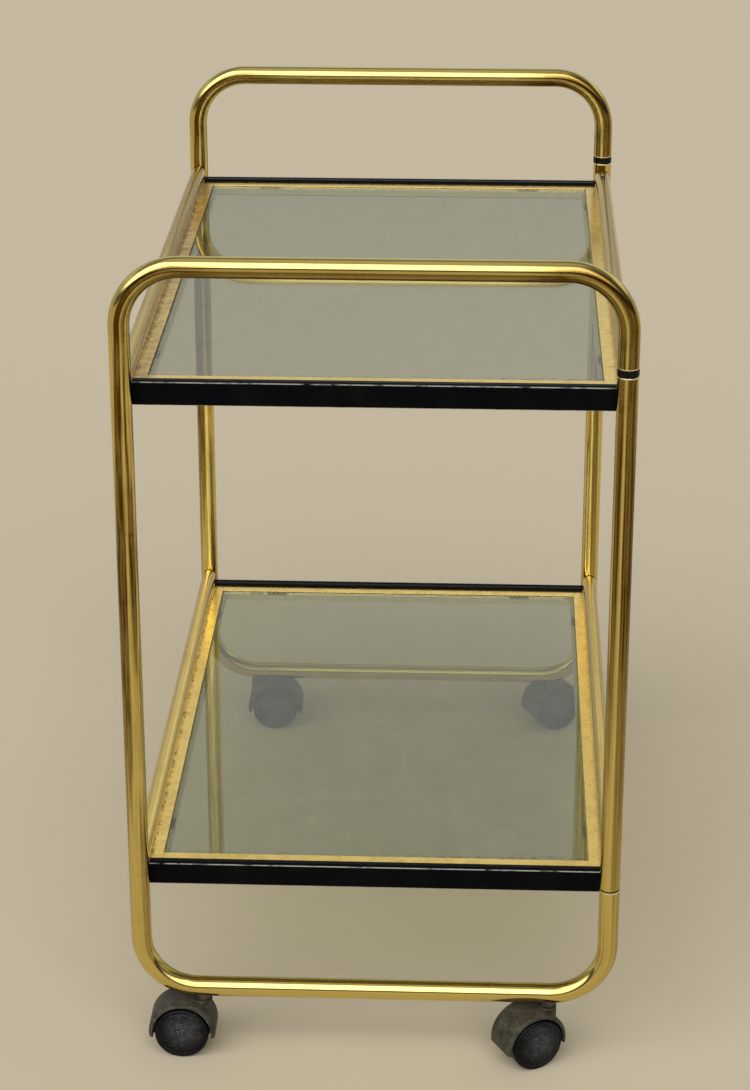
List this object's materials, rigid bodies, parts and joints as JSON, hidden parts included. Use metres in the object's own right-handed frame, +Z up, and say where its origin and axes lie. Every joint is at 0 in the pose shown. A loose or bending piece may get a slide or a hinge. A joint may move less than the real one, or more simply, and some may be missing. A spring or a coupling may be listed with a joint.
{
  "type": "dessert trolley",
  "caption": "Two-tier serving trolley of bent brass-plated tube loops with smoked glass trays, black end bars and hooded twin-wheel castors.",
  "frame": {"origin": "on the floor, below the middle of the trays", "axes": "+X to the right across the trolley, +Y along it towards the back end, +Z up"},
  "size_m": [0.4569, 0.7668, 0.7872],
  "materials": {
    "brass_plate": "polished brass plating, lightly pitted and tarnished",
    "black_bar": "satin black",
    "black_collar": "gloss black",
    "smoked_glass": "clear, smoked grey-green, lightly dusty",
    "pad_rubber": "matt",
    "castor_nylon": "semi-matt black, scuffed",
    "zinc_steel": "zinc plated"
  },
  "bodies": {
    "frame": {"back_left_castor_stem": "zinc_steel", "back_leg_connector": "black_collar", "back_leg_spigot": "zinc_steel", "back_loop_tube": "brass_plate", "back_right_castor_stem": "zinc_steel", "back_right_leg": "brass_plate", "castor_sockets": "zinc_steel", "front_left_castor_stem": "zinc_steel", "front_leg_connector": "black_collar", "front_leg_spigot": "zinc_steel", "front_loop_tube": "brass_plate", "front_right_castor_stem": "zinc_steel", "front_right_leg": "brass_plate", "lower_back_bar": "black_bar", "lower_back_strip": "brass_plate", "lower_bar_screws": "zinc_steel", "lower_front_bar": "black_bar", "lower_front_strip": "brass_plate", "lower_glass": "smoked_glass", "lower_glass_pads": "pad_rubber", "lower_left_rail": "brass_plate", "lower_left_strip": "brass_plate", "lower_right_rail": "brass_plate", "lower_right_strip": "brass_plate", "upper_back_bar": "black_bar", "upper_back_strip": "brass_plate", "upper_bar_screws": "zinc_steel", "upper_front_bar": "black_bar", "upper_front_strip": "brass_plate", "upper_glass": "smoked_glass", "upper_glass_pads": "pad_rubber", "upper_left_rail": "brass_plate", "upper_left_strip": "brass_plate", "upper_right_rail": "brass_plate", "upper_right_strip": "brass_plate"},
    "castor_front_left": {"front_left_castor_housing": "castor_nylon", "front_left_castor_axle": "zinc_steel"},
    "wheel_front_left_left": {"front_left_castor_left_wheel": "castor_nylon"},
    "wheel_front_left_right": {"front_left_castor_right_wheel": "castor_nylon"},
    "castor_front_right": {"front_right_castor_housing": "castor_nylon", "front_right_castor_axle": "zinc_steel"},
    "wheel_front_right_left": {"front_right_castor_left_wheel": "castor_nylon"},
    "wheel_front_right_right": {"front_right_castor_right_wheel": "castor_nylon"},
    "castor_back_left": {"back_left_castor_housing": "castor_nylon", "back_left_castor_axle": "zinc_steel"},
    "wheel_back_left_left": {"back_left_castor_left_wheel": "castor_nylon"},
    "wheel_back_left_right": {"back_left_castor_right_wheel": "castor_nylon"},
    "castor_back_right": {"back_right_castor_housing": "castor_nylon", "back_right_castor_axle": "zinc_steel"},
    "wheel_back_right_left": {"back_right_castor_left_wheel": "castor_nylon"},
    "wheel_back_right_right": {"back_right_castor_right_wheel": "castor_nylon"}
  },
  "joints": [
    {"name": "front_left_swivel", "type": "hinge", "parent": "frame", "child": "castor_front_left", "pos_m": [-0.163, -0.344, 0.045], "axis": [0, 0, 1], "continuous": true},
    {"name": "front_left_left_wheel_spin", "type": "hinge", "parent": "castor_front_left", "child": "wheel_front_left_left", "pos_m": [-0.1818, -0.344, 0.0255], "axis": [0, -1, 0], "continuous": true},
    {"name": "front_left_right_wheel_spin", "type": "hinge", "parent": "castor_front_left", "child": "wheel_front_left_right", "pos_m": [-0.1818, -0.344, 0.0255], "axis": [0, -1, 0], "continuous": true},
    {"name": "front_right_swivel", "type": "hinge", "parent": "frame", "child": "castor_front_right", "pos_m": [0.163, -0.344, 0.045], "axis": [0, 0, 1], "continuous": true},
    {"name": "front_right_left_wheel_spin", "type": "hinge", "parent": "castor_front_right", "child": "wheel_front_right_left", "pos_m": [0.14656, -0.35311, 0.0255], "axis": [0.4848, -0.8746, 0], "continuous": true},
    {"name": "front_right_right_wheel_spin", "type": "hinge", "parent": "castor_front_right", "child": "wheel_front_right_right", "pos_m": [0.14656, -0.35311, 0.0255], "axis": [0.4848, -0.8746, 0], "continuous": true},
    {"name": "back_left_swivel", "type": "hinge", "parent": "frame", "child": "castor_back_left", "pos_m": [-0.163, 0.344, 0.045], "axis": [0, 0, 1], "continuous": true},
    {"name": "back_left_left_wheel_spin", "type": "hinge", "parent": "castor_back_left", "child": "wheel_back_left_left", "pos_m": [-0.1442, 0.344, 0.0255], "axis": [0, 1, 0], "continuous": true},
    {"name": "back_left_right_wheel_spin", "type": "hinge", "parent": "castor_back_left", "child": "wheel_back_left_right", "pos_m": [-0.1442, 0.344, 0.0255], "axis": [0, 1, 0], "continuous": true},
    {"name": "back_right_swivel", "type": "hinge", "parent": "frame", "child": "castor_back_right", "pos_m": [0.163, 0.344, 0.045], "axis": [0, 0, 1], "continuous": true},
    {"name": "back_right_left_wheel_spin", "type": "hinge", "parent": "castor_back_right", "child": "wheel_back_right_left", "pos_m": [0.17944, 0.35311, 0.0255], "axis": [-0.4848, 0.8746, 0], "continuous": true},
    {"name": "back_right_right_wheel_spin", "type": "hinge", "parent": "castor_back_right", "child": "wheel_back_right_right", "pos_m": [0.17944, 0.35311, 0.0255], "axis": [-0.4848, 0.8746, 0], "continuous": true}
  ]
}
